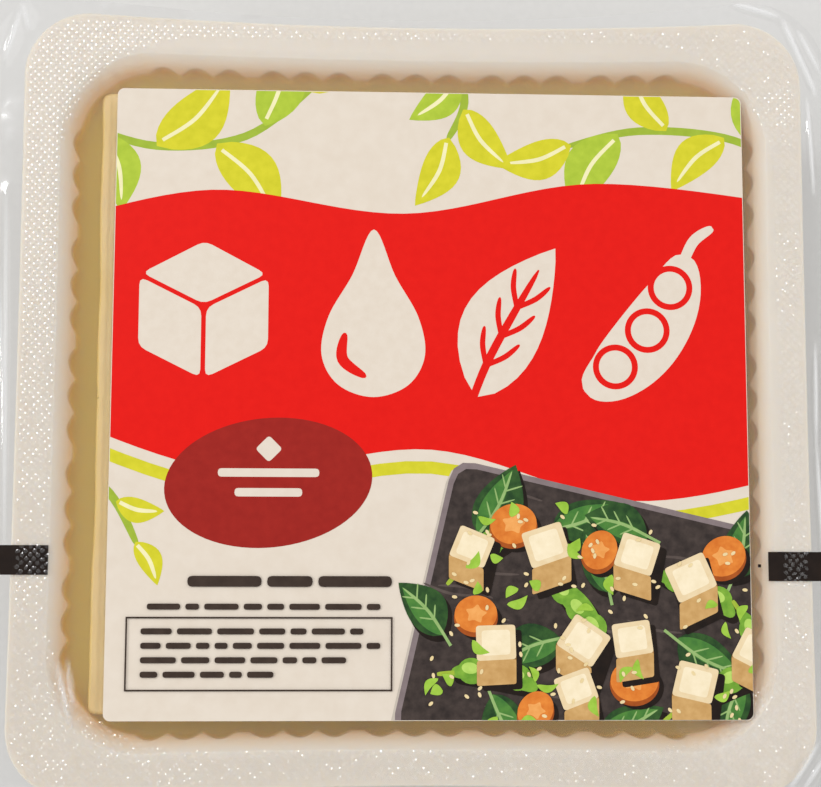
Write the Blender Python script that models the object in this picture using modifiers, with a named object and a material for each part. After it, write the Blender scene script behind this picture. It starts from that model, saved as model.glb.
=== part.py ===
"""Sealed tofu pack: a fluted tray, the block in its water, the lid film and the printed panel.

Metres, +Z up. The tray stands on z = 0 with its middle on the Z axis. Seen from above,
+X is the pack's right-hand side and +Y its far side.
"""
import math

import bmesh
import bpy

# ---- driving dimensions ----
FLANGE_HALF = (0.0715, 0.0704)      # outer edge of the sealing flange
FLANGE_RADIUS = 0.0118
FLANGE_BOW = (0.0002, 0.0018)       # how far the X and Y sides pull in at their middles
FLANGE_TOP = 0.0335                 # height of the flange's upper face
SHEET = 0.0008                      # thickness of the tray's plastic

WALL_HALF = (0.0622, 0.0605)        # inside of the wall at its mouth, on the ridges
WALL_RADIUS = 0.0120
WALL_BOW = (0.0002, 0.0008)
WALL_DRAFT = 0.0007                 # how far the wall leans in on its way down
SHOULDER_RADIUS = 0.0026            # the flange rolls over this radius into the wall
SHOULDER_STEPS = 2
FOOT_RADIUS = 0.0016                # inside radius between wall and base

FLUTE_PITCH = 0.0061                # from flute to flute inside a group
FLUTE_GROUP_PITCH = 0.0202
FLUTE_GROUPS = 5
FLUTES_PER_GROUP = 3
FLUTE_DEPTH = 0.0008
FLUTE_MOUTH = 0.0040
FLUTE_FLOOR = 0.0018

BLOCK_SIZE = (0.1164, 0.1136, 0.0290)
BLOCK_CORNER = 0.0045               # radius of the four upright edges
BLOCK_EDGE = 0.0014                 # softening of the top and bottom edges
GAP = 0.0003                        # clearance left between touching pieces
WATER_INSET = 0.0004                # the same clearance, measured level across the sloping wall

FILM_HALF = (0.0762, 0.0742)
FILM_RADIUS = 0.0050
FILM_BOW = (0.0012, 0.0010)
FILM_GRIP = 0.0008                  # how far inside the flange's edge the film comes loose
FILM_SHEET = 0.0003
FILM_DROOP = 0.0006                 # how far the free edge hangs along the sides
FILM_CURL = (0.0044, 0.0024, 0.0012, 0.0030)    # lift of the corners, anticlockwise from +X +Y
FILM_STATIONS = 9

PANEL_SIZE = (0.1145, 0.1134)
PANEL_CENTRE = (0.0028, -0.0006)
PANEL_RADIUS = 0.0012
PANEL_SHEET = 0.0002

ARC_STEPS = 6

COLOURS = {
    "tray": ((0.71, 0.66, 0.59), 0.35),
    "block": ((0.76, 0.65, 0.44), 0.55),
    "water": ((0.55, 0.45, 0.24), 0.05),
    "film": ((0.82, 0.84, 0.86), 0.08),
    "panel": ((0.86, 0.83, 0.77), 0.30),
}


def collection(name):
    """Return a new collection linked to the scene."""
    made = bpy.data.collections.new(name)
    bpy.context.scene.collection.children.link(made)
    return made


def material(name):
    """Return a Principled material in one of the pack's colours."""
    colour, roughness = COLOURS[name]
    made = bpy.data.materials.new(name)
    made.use_nodes = True
    shader = made.node_tree.nodes["Principled BSDF"]
    shader.inputs["Base Color"].default_value = (*colour, 1)
    shader.inputs["Roughness"].default_value = roughness
    shader.inputs["Metallic"].default_value = 0.0
    return made


def mesh_object(name, bm, into):
    """Turn a bmesh into a named object."""
    mesh = bpy.data.meshes.new(name)
    bm.to_mesh(mesh)
    bm.free()
    made = bpy.data.objects.new(name, mesh)
    into.objects.link(made)
    return made


def flute_stations(share):
    """Return (distance along a side, depth) at each corner of the flutes, share of full depth."""
    depth = share * FLUTE_DEPTH
    stations = []
    for group in range(FLUTE_GROUPS):
        group_centre = (group - (FLUTE_GROUPS - 1) / 2) * FLUTE_GROUP_PITCH
        for flute in range(FLUTES_PER_GROUP):
            centre = group_centre + (flute - (FLUTES_PER_GROUP - 1) / 2) * FLUTE_PITCH
            stations.append((centre - FLUTE_MOUTH / 2, 0.0))
            stations.append((centre - FLUTE_FLOOR / 2, depth))
            stations.append((centre + FLUTE_FLOOR / 2, depth))
            stations.append((centre + FLUTE_MOUTH / 2, 0.0))
    return stations


def rounded_outline(half, radius, bow, stations, z):
    """Return a rounded rectangle, anticlockwise from above, starting on the +X side.

    Each side has a point at every station, set outwards by its depth, and pulls in by bow
    at its middle. Each corner is an arc of ARC_STEPS.
    """
    points = []
    for quarter in range(4):
        out, along = half if quarter % 2 == 0 else half[::-1]
        straight = along - radius
        local = []
        for station, depth in stations:
            inward = bow[quarter % 2] * max(0.0, 1 - (station / straight) ** 2)
            local.append((out - inward + depth, station))
        for step in range(ARC_STEPS + 1):
            angle = step / ARC_STEPS * math.pi / 2
            local.append((out - radius + radius * math.cos(angle), straight + radius * math.sin(angle)))
        cosine, sine = ((1, 0), (0, 1), (-1, 0), (0, -1))[quarter]
        points += [(x * cosine - y * sine, x * sine + y * cosine, z) for x, y in local]
    return points


def loft(outlines):
    """Return a closed bmesh through outlines of equal length, the first one capped facing up."""
    bm = bmesh.new()
    rows = [[bm.verts.new(point) for point in outline] for outline in outlines]
    count = len(rows[0])
    for upper, lower in zip(rows, rows[1:]):
        for i in range(count):
            j = (i + 1) % count
            bm.faces.new((upper[i], lower[i], lower[j], upper[j]))
    bm.faces.new(rows[0])
    bm.faces.new(reversed(rows[-1]))
    return bm


def wall_outline(growth, fluting, z):
    """Return the wall's outline moved out by growth, or in where it is negative."""
    half = (WALL_HALF[0] + growth, WALL_HALF[1] + growth)
    return rounded_outline(half, WALL_RADIUS + growth, WALL_BOW, flute_stations(fluting), z)


def flange_outline(z):
    """Return the flange's outer edge at one height."""
    return rounded_outline(FLANGE_HALF, FLANGE_RADIUS, FLANGE_BOW, flute_stations(0), z)


def shoulder(radius, roll=math.pi / 2):
    """Return the outlines that roll the wall over towards the flange, from the wall up."""
    outlines = []
    for step in range(SHOULDER_STEPS + 1):
        angle = step / SHOULDER_STEPS * roll
        growth = SHOULDER_RADIUS - radius * math.cos(angle)
        z = FLANGE_TOP - SHOULDER_RADIUS + radius * math.sin(angle)
        outlines.append(wall_outline(growth, 1 - angle / (math.pi / 2), z))
    return outlines


def make_tray(into):
    """Form the tray: up the inside, over the shoulder and flange, and down the outside."""
    outside = SHEET - WALL_DRAFT
    foot = SHEET + FOOT_RADIUS
    outlines = [
        wall_outline(-WALL_DRAFT - FOOT_RADIUS, 0, SHEET),
        wall_outline(-WALL_DRAFT, 1, foot),
        *shoulder(SHOULDER_RADIUS),
        flange_outline(FLANGE_TOP),
        flange_outline(FLANGE_TOP - SHEET),
        *reversed(shoulder(SHOULDER_RADIUS - SHEET)),
        wall_outline(outside, 1, foot),
        wall_outline(outside - FOOT_RADIUS, 0, 0),
    ]
    tray = mesh_object("tray", loft(outlines), into)
    tray.data.materials.append(material("tray"))
    tray.data.shade_smooth()
    tray.data.set_sharp_from_angle(angle=math.radians(35))
    return tray


def block_box(name, clearance, drop, into):
    """Make a round-cornered box of the block's size, grown by a clearance and reaching down by drop."""
    width, depth, height = BLOCK_SIZE
    bottom = SHEET + GAP - drop
    top = SHEET + GAP + height + clearance
    bm = bmesh.new()
    bmesh.ops.create_cube(bm, size=1)
    bmesh.ops.scale(bm, vec=(width + 2 * clearance, depth + 2 * clearance, top - bottom), verts=bm.verts)
    bmesh.ops.translate(bm, vec=(0, 0, (top + bottom) / 2), verts=bm.verts)
    upright = [edge for edge in bm.edges if abs(edge.verts[0].co.z - edge.verts[1].co.z) > height / 2]
    bmesh.ops.bevel(bm, geom=upright, offset=BLOCK_CORNER, segments=3, profile=0.5, affect="EDGES")
    made = mesh_object(name, bm, into)
    bevel = made.modifiers.new("soft edges", "BEVEL")
    bevel.width = BLOCK_EDGE
    bevel.segments = 2
    bevel.limit_method = "ANGLE"
    bevel.angle_limit = math.radians(60)
    return made


def make_block(into):
    """Cut the tofu: a pressed block with softened edges, lying on the tray's base."""
    block = block_box("tofu_block", clearance=0.0, drop=0.0, into=into)
    block.data.materials.append(material("block"))
    return block


def make_water(into, cutters):
    """Fill the tray with water up to the film, and cut the block out of it."""
    shoulder_radius = SHOULDER_RADIUS + WATER_INSET
    level_with_flange = math.asin(SHOULDER_RADIUS / shoulder_radius)
    outlines = [
        *reversed(shoulder(shoulder_radius, level_with_flange)),
        wall_outline(-WATER_INSET - WALL_DRAFT, 1, SHEET + FOOT_RADIUS + GAP),
    ]
    water = mesh_object("water", loft(outlines), into)
    pocket = block_box("pocket", clearance=GAP, drop=4 * BLOCK_EDGE, into=cutters)
    pocket.hide_render = True
    pocket.display_type = "WIRE"
    cut = water.modifiers.new("room for the block", "BOOLEAN")
    cut.operation = "DIFFERENCE"
    cut.solver = "EXACT"
    cut.object = pocket
    water.data.materials.append(material("water"))
    return water


def film_outline(loose, z):
    """Return an outline of the film: 0 where it leaves the flange, 1 at its free edge."""
    reach = FILM_HALF[1] - FILM_RADIUS
    stations = []
    for index in range(FILM_STATIONS):
        stations.append((reach * (2 * index / (FILM_STATIONS - 1) - 1) * 0.8, 0.0))
    held_half = (FLANGE_HALF[0] - FILM_GRIP, FLANGE_HALF[1] - FILM_GRIP)
    held = rounded_outline(held_half, FLANGE_RADIUS - FILM_GRIP, FLANGE_BOW, stations, z)
    free = rounded_outline(FILM_HALF, FILM_RADIUS, FILM_BOW, stations, z)
    points = []
    for (x0, y0, _), (x1, y1, _) in zip(held, free):
        cornerness = (abs(x1) / FILM_HALF[0] * abs(y1) / FILM_HALF[1]) ** 8
        quarter = int(math.atan2(y1, x1) // (math.pi / 2)) % 4
        lift = FILM_CURL[quarter] * cornerness * loose ** 2 - FILM_DROOP * (1 - cornerness) * loose
        points.append((x0 + (x1 - x0) * loose, y0 + (y1 - y0) * loose, z + lift))
    return points


def make_film(into):
    """Lay the lid film over the flange, its edge loose all round and its corners curled up."""
    under = FLANGE_TOP + GAP
    top = under + FILM_SHEET
    looseness = (0, 0.5, 1)
    outlines = [film_outline(loose, top) for loose in looseness]
    outlines += [film_outline(loose, under) for loose in reversed(looseness)]
    film = mesh_object("lid_film", loft(outlines), into)
    film.data.materials.append(material("film"))
    return film


def make_panel(into):
    """Cut the printed panel: a square sheet with rounded corners, flat on the film."""
    half = (PANEL_SIZE[0] / 2, PANEL_SIZE[1] / 2)
    corners = rounded_outline(half, PANEL_RADIUS, (0, 0), [], 0)
    curve = bpy.data.curves.new("panel_outline", "CURVE")
    curve.dimensions = "2D"
    curve.fill_mode = "BOTH"
    curve.extrude = PANEL_SHEET / 2
    outline = curve.splines.new("POLY")
    outline.points.add(len(corners) - 1)
    for point, corner in zip(outline.points, corners):
        point.co = (*corner, 1)
    outline.use_cyclic_u = True
    panel = bpy.data.objects.new("print_panel", curve)
    level = FLANGE_TOP + GAP + FILM_SHEET + GAP + PANEL_SHEET / 2
    panel.location = (*PANEL_CENTRE, level)
    into.objects.link(panel)
    curve.materials.append(material("panel"))
    return panel


for old in list(bpy.data.objects):
    bpy.data.objects.remove(old)

pack = collection("sealed_tofu_pack")
cutting = collection("cutters")
make_tray(pack)
make_block(pack)
make_water(pack, cutting)
make_film(pack)
make_panel(pack)
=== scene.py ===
"""Looks of a sealed tofu pack: tray, tofu, water, lid film and its seal, printed panel, studio."""
import math

import bpy
import numpy as np
from mathutils import Matrix, Vector, noise


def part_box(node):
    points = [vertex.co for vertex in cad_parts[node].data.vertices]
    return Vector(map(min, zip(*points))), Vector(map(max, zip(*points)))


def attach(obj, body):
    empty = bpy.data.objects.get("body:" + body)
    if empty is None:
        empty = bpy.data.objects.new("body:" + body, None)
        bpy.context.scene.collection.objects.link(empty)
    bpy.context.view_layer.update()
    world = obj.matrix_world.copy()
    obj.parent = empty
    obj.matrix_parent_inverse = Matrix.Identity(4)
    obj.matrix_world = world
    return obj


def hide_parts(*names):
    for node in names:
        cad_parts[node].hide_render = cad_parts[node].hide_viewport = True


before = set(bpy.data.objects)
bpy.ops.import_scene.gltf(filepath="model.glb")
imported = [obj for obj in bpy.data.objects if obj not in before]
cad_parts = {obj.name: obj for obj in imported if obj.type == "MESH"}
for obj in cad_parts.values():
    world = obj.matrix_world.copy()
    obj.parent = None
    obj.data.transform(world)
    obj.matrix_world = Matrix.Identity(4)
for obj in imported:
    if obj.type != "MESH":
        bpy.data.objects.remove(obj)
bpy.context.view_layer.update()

mm = 0.001

# ---- The tray ----
# One sheet of white polypropylene, drawn hot into a mould: a flat base, upright walls pressed
# into flutes that stiffen them, a rolled shoulder and a level flange for the lid film.
# The outline's four sides pull in a little at their middles, as the sheet shrinks on cooling.
flange_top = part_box("tray")[1].z
flange_half = (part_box("tray")[1].x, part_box("tray")[1].y)
flange_radius = 11.8 * mm
flange_bow = (0.2 * mm, 1.8 * mm)
sheet = 0.8 * mm
wall_half = (61.75 * mm, 60.0 * mm)
wall_radius = 13.4 * mm
wall_bow = (0.2 * mm, 0.7 * mm)
wall_draft = 0.7 * mm
shoulder_radius = 3.1 * mm
foot_radius = 1.6 * mm
edge_radius = 0.3 * mm
flute_sizes = {"Depth": 0.9 * mm, "Pitch": 6.1 * mm, "Group pitch": 20.25 * mm, "Mouth": 5.4 * mm}
tray_steps = (260, 26)


def outline(half, radii, bow, steps=tray_steps):
    """Points of a rounded square, anticlockwise from +X, with their outward directions and
    their distance along the side from its middle. radii starts with the +X +Y corner, and
    steps are the points along a side and round a corner."""
    side_points, corner_points = steps
    points, outward, station = [], [], []
    for quarter in range(4):
        out, reach = half if quarter % 2 == 0 else half[::-1]
        radius, radius_before = radii[quarter], radii[quarter - 1]
        along = np.linspace(radius_before - reach, reach - radius, side_points)
        share = np.linspace(-1, 1, side_points)
        turn = np.linspace(0, math.pi / 2, corner_points + 2)[1:-1]
        x = np.append(out - bow[quarter % 2] * (1 - share ** 2), out - radius * (1 - np.cos(turn)))
        y = np.append(along, reach - radius * (1 - np.sin(turn)))
        heading = np.append(np.zeros(side_points), turn)
        reach_next = half[quarter % 2] - radius
        on_arc = np.where(turn < math.pi / 4, reach - radius + radius * turn,
                          -reach_next - radius * (math.pi / 2 - turn))
        cosine, sine = ((1, 0), (0, 1), (-1, 0), (0, -1))[quarter]
        points.append(np.stack((x * cosine - y * sine, x * sine + y * cosine), 1))
        heading += quarter * math.pi / 2
        outward.append(np.stack((np.cos(heading), np.sin(heading)), 1))
        station.append(np.append(along, on_arc))
    return np.concatenate(points), np.concatenate(outward), np.concatenate(station)


def ring(points, z):
    """Lift a flat outline to a height, or to a height for each point."""
    return np.column_stack((points, np.broadcast_to(z, len(points))))


def lofted(name, rings):
    """Make a closed mesh through rings of equal length: the first is capped facing up, the
    last facing down, and outward is to the right of the way the rings travel."""
    count = len(rings[0])
    here = np.arange(count)
    after = np.roll(here, -1)
    faces = [list(range(count))]
    for row in range(len(rings) - 1):
        first, second = row * count, (row + 1) * count
        faces += np.stack((first + here, second + here, second + after, first + after), 1).tolist()
    last = (len(rings) - 1) * count
    faces.append(list(range(last + count - 1, last - 1, -1)))
    mesh = bpy.data.meshes.new(name)
    mesh.from_pydata(np.concatenate(rings).tolist(), [], faces)
    mesh.shade_smooth()
    mesh.set_sharp_from_angle(angle=math.radians(50))
    made = bpy.data.objects.new(name, mesh)
    bpy.context.scene.collection.objects.link(made)
    return made


def node(tree, kind, sockets=None, **settings):
    """Add a node. sockets gives its inputs, by name or number, as values, nodes or outputs."""
    made = tree.nodes.new(kind)
    for setting, value in settings.items():
        setattr(made, setting, value)
    for key, value in (sockets or {}).items():
        if isinstance(value, bpy.types.Node):
            value = value.outputs[0]
        if isinstance(value, bpy.types.NodeSocket):
            tree.links.new(value, made.inputs[key])
        else:
            made.inputs[key].default_value = value
    return made


def paint(code):
    """Turn an sRGB hex colour into linear red, green, blue and alpha."""
    shares = [int(code[i:i + 2], 16) / 255 for i in (1, 3, 5)]
    return (*[s / 12.92 if s <= 0.04045 else ((s + 0.055) / 1.055) ** 2.4 for s in shares], 1.0)


def material_tree(name):
    """Start a material and return it with its empty node tree."""
    made = bpy.data.materials.new(name)
    made.use_nodes = True
    made.node_tree.nodes.clear()
    return made, made.node_tree


def wall_points(growth, steps=tray_steps):
    """The wall's outline, moved out by growth or in where it is negative."""
    half = (wall_half[0] + growth, wall_half[1] + growth)
    return outline(half, [wall_radius + growth] * 4, wall_bow, steps)[0]


def shoulder(radius, steps):
    """Rings that turn the wall over towards the flange, half way between a straight slope and a
    round. Each has its share of the flutes' depth, and how far out it stands already."""
    turned_over = []
    for step in range(steps + 1):
        share = step / steps
        angle = share * math.pi / 2
        rise = (share + math.sin(angle)) / 2
        out = (share + 1 - math.cos(angle)) / 2
        points = wall_points(shoulder_radius - radius * (1 - out))
        height = flange_top - shoulder_radius + radius * rise
        turned_over.append((ring(points, height), 1.0, radius * out))
    return turned_over


def foot(level, growth, steps=4):
    """Rings from the base round into the wall."""
    rounded = []
    for step in range(steps + 1):
        angle = step / steps * math.pi / 2
        height = level + foot_radius * (1 - math.cos(angle))
        points = wall_points(growth - foot_radius * (1 - math.sin(angle)))
        rounded.append((ring(points, height), 0.0, 0.0))
    return rounded


def wall(low, high, growth_low, growth_high, steps=6):
    """Rings up a wall, between its rounded foot and its shoulder, the flutes running out below."""
    rings_up = []
    for step in range(1, steps):
        share = step / steps
        points = wall_points(growth_low + (growth_high - growth_low) * share)
        rings_up.append((ring(points, low + (high - low) * share), min(1.0, 2.5 * share), 0.0))
    return rings_up


def flute_tree():
    """Geometry Nodes that press the flutes: groups of three, outwards by half a wave. They are
    cut upright, so they run out where the shoulder already stands further out."""
    tree = bpy.data.node_groups.new("wall flutes", "GeometryNodeTree")
    tree.is_modifier = True
    tree.interface.new_socket("Geometry", in_out="INPUT", socket_type="NodeSocketGeometry")
    for name in flute_sizes:
        tree.interface.new_socket(name, in_out="INPUT", socket_type="NodeSocketFloat")
    tree.interface.new_socket("Plastic", in_out="INPUT", socket_type="NodeSocketMaterial")
    tree.interface.new_socket("Geometry", in_out="OUTPUT", socket_type="NodeSocketGeometry")
    given = node(tree, "NodeGroupInput")
    value = given.outputs
    station = node(tree, "GeometryNodeInputNamedAttribute", {"Name": "station"}, data_type="FLOAT")
    press = node(tree, "GeometryNodeInputNamedAttribute", {"Name": "press"}, data_type="FLOAT")
    stands = node(tree, "GeometryNodeInputNamedAttribute", {"Name": "stands"}, data_type="FLOAT")
    outward = node(tree, "GeometryNodeInputNamedAttribute", {"Name": "outward"}, data_type="FLOAT_VECTOR")
    place = station
    for pitch, most in ((value["Group pitch"], 2), (value["Pitch"], 1)):
        count = node(tree, "ShaderNodeMath", {0: place, 1: pitch}, operation="DIVIDE")
        count = node(tree, "ShaderNodeMath", {0: count}, operation="ROUND")
        count = node(tree, "ShaderNodeMath", {0: count, 1: most}, operation="MINIMUM")
        count = node(tree, "ShaderNodeMath", {0: count, 1: -most}, operation="MAXIMUM")
        centre = node(tree, "ShaderNodeMath", {0: count, 1: pitch}, operation="MULTIPLY")
        place = node(tree, "ShaderNodeMath", {0: place, 1: centre}, operation="SUBTRACT")
    share = node(tree, "ShaderNodeMath", {0: place, 1: value["Mouth"]}, operation="DIVIDE")
    share = node(tree, "ShaderNodeMath", {0: share, 1: 0.5}, operation="MINIMUM")
    share = node(tree, "ShaderNodeMath", {0: share, 1: -0.5}, operation="MAXIMUM")
    angle = node(tree, "ShaderNodeMath", {0: share, 1: math.pi}, operation="MULTIPLY")
    wave = node(tree, "ShaderNodeMath", {0: angle}, operation="COSINE")
    depth = node(tree, "ShaderNodeMath", {0: wave, 1: value["Depth"]}, operation="MULTIPLY")
    depth = node(tree, "ShaderNodeMath", {0: depth, 1: press}, operation="MULTIPLY")
    depth = node(tree, "ShaderNodeMath", {0: depth, 1: stands}, operation="SUBTRACT")
    depth = node(tree, "ShaderNodeMath", {0: depth, 1: 0.0}, operation="MAXIMUM")
    push = node(tree, "ShaderNodeVectorMath", {0: outward, "Scale": depth}, operation="SCALE")
    moved = node(tree, "GeometryNodeSetPosition", {"Geometry": value["Geometry"], "Offset": push})
    real = node(tree, "GeometryNodeRealizeInstances", {"Geometry": moved})
    named = node(tree, "GeometryNodeSetMaterial", {"Geometry": real, "Material": value["Plastic"]})
    node(tree, "NodeGroupOutput", {"Geometry": named})
    return tree


def shaped(thing, tree, inputs):
    """Run a Geometry Nodes tree on an object with the named inputs, and keep the plain mesh."""
    modifier = thing.modifiers.new(tree.name, "NODES")
    modifier.node_group = tree
    for item in tree.interface.items_tree:
        if item.in_out == "INPUT" and item.name in inputs:
            modifier[item.identifier] = inputs[item.name]
    evaluated = thing.evaluated_get(bpy.context.evaluated_depsgraph_get())
    mesh = bpy.data.meshes.new_from_object(evaluated)
    thing.modifiers.remove(modifier)
    thing.data = mesh
    return thing


def fluted(name, rows, material):
    """Loft rows into a piece with the wall's flutes pressed in it. A row is a ring, its share of
    the flutes' depth, and how far it stands outside the wall."""
    thing = lofted(name, [row[0] for row in rows])
    _, outward, station = outline(wall_half, [wall_radius] * 4, wall_bow)
    count = len(station)
    values = {"station": np.tile(station, len(rows)), "press": np.repeat([row[1] for row in rows], count),
              "stands": np.repeat([row[2] for row in rows], count)}
    for key, value in values.items():
        thing.data.attributes.new(key, "FLOAT", "POINT").data.foreach_set("value", value)
    flat = np.tile(np.column_stack((outward, np.zeros(count))), (len(rows), 1))
    thing.data.attributes.new("outward", "FLOAT_VECTOR", "POINT").data.foreach_set("vector", flat.ravel())
    return shaped(thing, wall_flutes, {**flute_sizes, "Plastic": material})


def polypropylene():
    """Thermoformed polypropylene: white, faintly see-through, so light softens inside it, with
    the satin skin and shallow orange peel that a warm mould leaves. Inside, below the flange,
    it is painted warmer and darker with depth: painted shade for the warm light that comes
    through the yellow soaking water."""
    made, tree = material_tree("thermoformed polypropylene")
    place = node(tree, "ShaderNodeTexCoord").outputs["Object"]
    clouds = node(tree, "ShaderNodeTexNoise", {"Vector": place, "Scale": 1 / (30 * mm), "Detail": 2.0})
    tint = node(tree, "ShaderNodeMix", {0: clouds, 6: paint("#D3CBBF"), 7: paint("#D9D2C7")}, data_type="RGBA")
    # Painted shade: the plastic turns warmer and darker with depth below the flange, standing in for warm light through
    # the yellow water.
    painted_water_shade = node(tree, "ShaderNodeAttribute", attribute_name="painted_water_shade").outputs["Fac"]
    tint = node(tree, "ShaderNodeMix", {0: painted_water_shade, 6: tint.outputs[2], 7: paint("#E8CBA6")}, data_type="RGBA")
    peel = node(tree, "ShaderNodeTexNoise", {"Vector": place, "Scale": 1 / (0.9 * mm), "Detail": 2.0})
    bump = node(tree, "ShaderNodeBump", {"Height": peel, "Strength": 0.12, "Distance": 0.05 * mm})
    shader = node(tree, "ShaderNodeBsdfPrincipled", {
        "Base Color": tint.outputs[2], "Roughness": 0.38, "IOR": 1.49, "Normal": bump,
        "Subsurface Weight": 1.0, "Subsurface Radius": (1.0, 0.85, 0.65), "Subsurface Scale": 1.2 * mm})
    node(tree, "ShaderNodeOutputMaterial", {"Surface": shader})
    return made


def flange(low_side):
    """Rings across the flange: outwards on top, round its trimmed edge, and back underneath."""
    level = flange_top - (sheet if low_side else 0)
    inner = wall_points(shoulder_radius)
    outer = outline(flange_half, [flange_radius] * 4, flange_bow)[0]
    trimmed = outline([h - edge_radius for h in flange_half], [flange_radius - edge_radius] * 4, flange_bow)[0]
    if low_side:
        return [(ring(inner + (outer - inner) * share, level), 0.0, 0.0) for share in (0.98, 0.7, 0.4)]
    across = [(ring(inner + (trimmed - inner) * share, level), 0.0, 0.0) for share in (0.25, 0.5, 0.75, 0.94)]
    for step in range(5):
        angle = step / 4 * math.pi / 2
        points = trimmed + (outer - trimmed) * math.sin(angle)
        across.append((ring(points, level - edge_radius * (1 - math.cos(angle))), 0.0, 0.0))
    return across


wall_flutes = flute_tree()
inside_foot = sheet + foot_radius
shoulder_base = flange_top - shoulder_radius
outside = sheet - wall_draft
tray_inside = [
    (ring(wall_points(-wall_draft - foot_radius - 2 * mm), sheet), 0.0, 0.0),
    *foot(sheet, -wall_draft),
    *wall(inside_foot, shoulder_base, -wall_draft, 0.0),
    *shoulder(shoulder_radius, 16),
]
tray_outside = [
    *flange(False),
    *flange(True),
    *reversed(shoulder(shoulder_radius - sheet, 8)),
    *reversed(wall(foot_radius, shoulder_base, outside, sheet)),
    *reversed(foot(0.0, outside)),
    (ring(wall_points(outside - foot_radius - 2 * mm), 0.0), 0.0, 0.0),
]
tray = fluted("thermoformed_tray", tray_inside + tray_outside, polypropylene())
# Each inner ring's depth below the flange, full at 2.4 mm: the share of painted warm shade laid on the tray; the
# outside gets none.
depths = [(flange_top - row[0][:, 2]) / (2.4 * mm) for row in tray_inside]
depths += [np.zeros(len(row[0])) for row in tray_outside]
painted_water_shade = np.clip(np.concatenate(depths), 0, 1)
tray.data.attributes.new("painted_water_shade", "FLOAT", "POINT").data.foreach_set("value", painted_water_shade)
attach(tray, "root")
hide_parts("tray")

# ---- The tofu ----
# A slab of firm tofu, pressed in cloth and cut to the tray: its edges are soft, its sides not
# quite straight, and its skin keeps the cloth's fine lines and a few pits.
block_low, block_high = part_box("tofu_block")
block_half = (block_high.x, block_high.y)
block_corners = (3.0 * mm, 1.8 * mm, 1.4 * mm, 3.0 * mm)
block_edge = 0.9 * mm
unevenness = 0.5 * mm


def block_points(inset, spread=0.0):
    """The block's outline moved in by inset; spread rounds its corners more."""
    half = [h - inset for h in block_half]
    radii = [max(0.4 * mm, corner + spread - inset * 0.4) for corner in block_corners]
    return outline(half, radii, (0.3 * mm, 0.3 * mm))[0]


def tofu_skin():
    """Pressed tofu: cream, damp and faintly translucent, with the press cloth's 0.6 mm lines."""
    made, tree = material_tree("pressed tofu")
    place = node(tree, "ShaderNodeTexCoord").outputs["Object"]
    clouds = node(tree, "ShaderNodeTexNoise", {"Vector": place, "Scale": 1 / (6 * mm), "Detail": 5.0})
    tint = node(tree, "ShaderNodeMix", {0: clouds, 6: paint("#DDBE8E"), 7: paint("#E9CDA3")}, data_type="RGBA")
    lines = node(tree, "ShaderNodeTexWave", {"Vector": place, "Scale": 1 / (0.6 * mm) / 6.3,
                                             "Distortion": 2.5, "Detail": 2.0})
    pits = node(tree, "ShaderNodeTexNoise", {"Vector": place, "Scale": 1 / (1.3 * mm), "Detail": 3.0})
    relief = node(tree, "ShaderNodeMath", {0: lines, 1: pits}, operation="ADD")
    bump = node(tree, "ShaderNodeBump", {"Height": relief, "Strength": 0.5, "Distance": 0.12 * mm})
    shader = node(tree, "ShaderNodeBsdfPrincipled", {
        "Base Color": tint.outputs[2], "Roughness": 0.5, "IOR": 1.38, "Normal": bump,
        "Subsurface Weight": 0.2, "Subsurface Radius": (1.0, 0.8, 0.5), "Subsurface Scale": 2 * mm})
    node(tree, "ShaderNodeOutputMaterial", {"Surface": shader})
    return made


block_rows = []
for inset in (9, 7.5, 6, 5, 4, 3.2, 2.5, 1.9, 1.4):
    block_rows.append(ring(block_points(inset * mm), block_high.z))
for step in range(5):
    angle = step / 4 * math.pi / 2
    level = block_high.z - block_edge * (1 - math.cos(angle))
    block_rows.append(ring(block_points(block_edge * (1 - math.sin(angle))), level))
for step in range(1, 8):
    share = step / 8
    level = block_high.z - block_edge + (block_low.z - block_high.z + 2 * block_edge) * share
    block_rows.append(ring(block_points(0.0, 3.5 * mm * share), level))
for step in range(5):
    angle = step / 4 * math.pi / 2
    level = block_low.z + block_edge * (1 - math.sin(angle))
    block_rows.append(ring(block_points(block_edge * (1 - math.cos(angle)), 3.5 * mm), level))
block_rows.append(ring(block_points(6 * mm, 3.5 * mm), block_low.z))
tofu = lofted("pressed_tofu", block_rows)
for vertex in tofu.data.vertices:
    place = vertex.co.copy()
    height = (place.z - block_low.z) / (block_high.z - block_low.z)
    slow = noise.noise(place / (14 * mm) + Vector((3.1, 0, 0)))
    fast = noise.noise(place / (2.2 * mm))
    inward = unevenness * (0.55 + 0.6 * slow + 0.12 * fast)
    edge_share = max(abs(place.x) / block_half[0], abs(place.y) / block_half[1]) ** 30
    vertex.co.x -= math.copysign(inward, place.x) * edge_share
    vertex.co.y -= math.copysign(inward, place.y) * edge_share
    vertex.co.z -= 0.4 * inward if height > 0.9 else 0
tofu.data.materials.append(tofu_skin())
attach(tofu, "root")
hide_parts("tofu_block")

# ---- The water ----
# The block's soaking water, tinted straw yellow and clouded by the soya, fills the tray round
# the block and just over it. It stops at the foot of the rolled shoulder.
water_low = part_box("water")[0].z
water_level = block_high.z + 0.2 * mm


def soaking_water():
    """Soaking water: yellower the further light goes through it. The film over it has the
    gloss, so its own surface bends and reflects nothing."""
    made, tree = material_tree("soaking water")
    surface = node(tree, "ShaderNodeBsdfTransparent")
    body = node(tree, "ShaderNodeVolumeAbsorption", {"Color": (0.998, 0.94, 0.0, 1), "Density": 520.0})
    node(tree, "ShaderNodeOutputMaterial", {"Surface": surface, "Volume": body})
    return made


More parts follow.
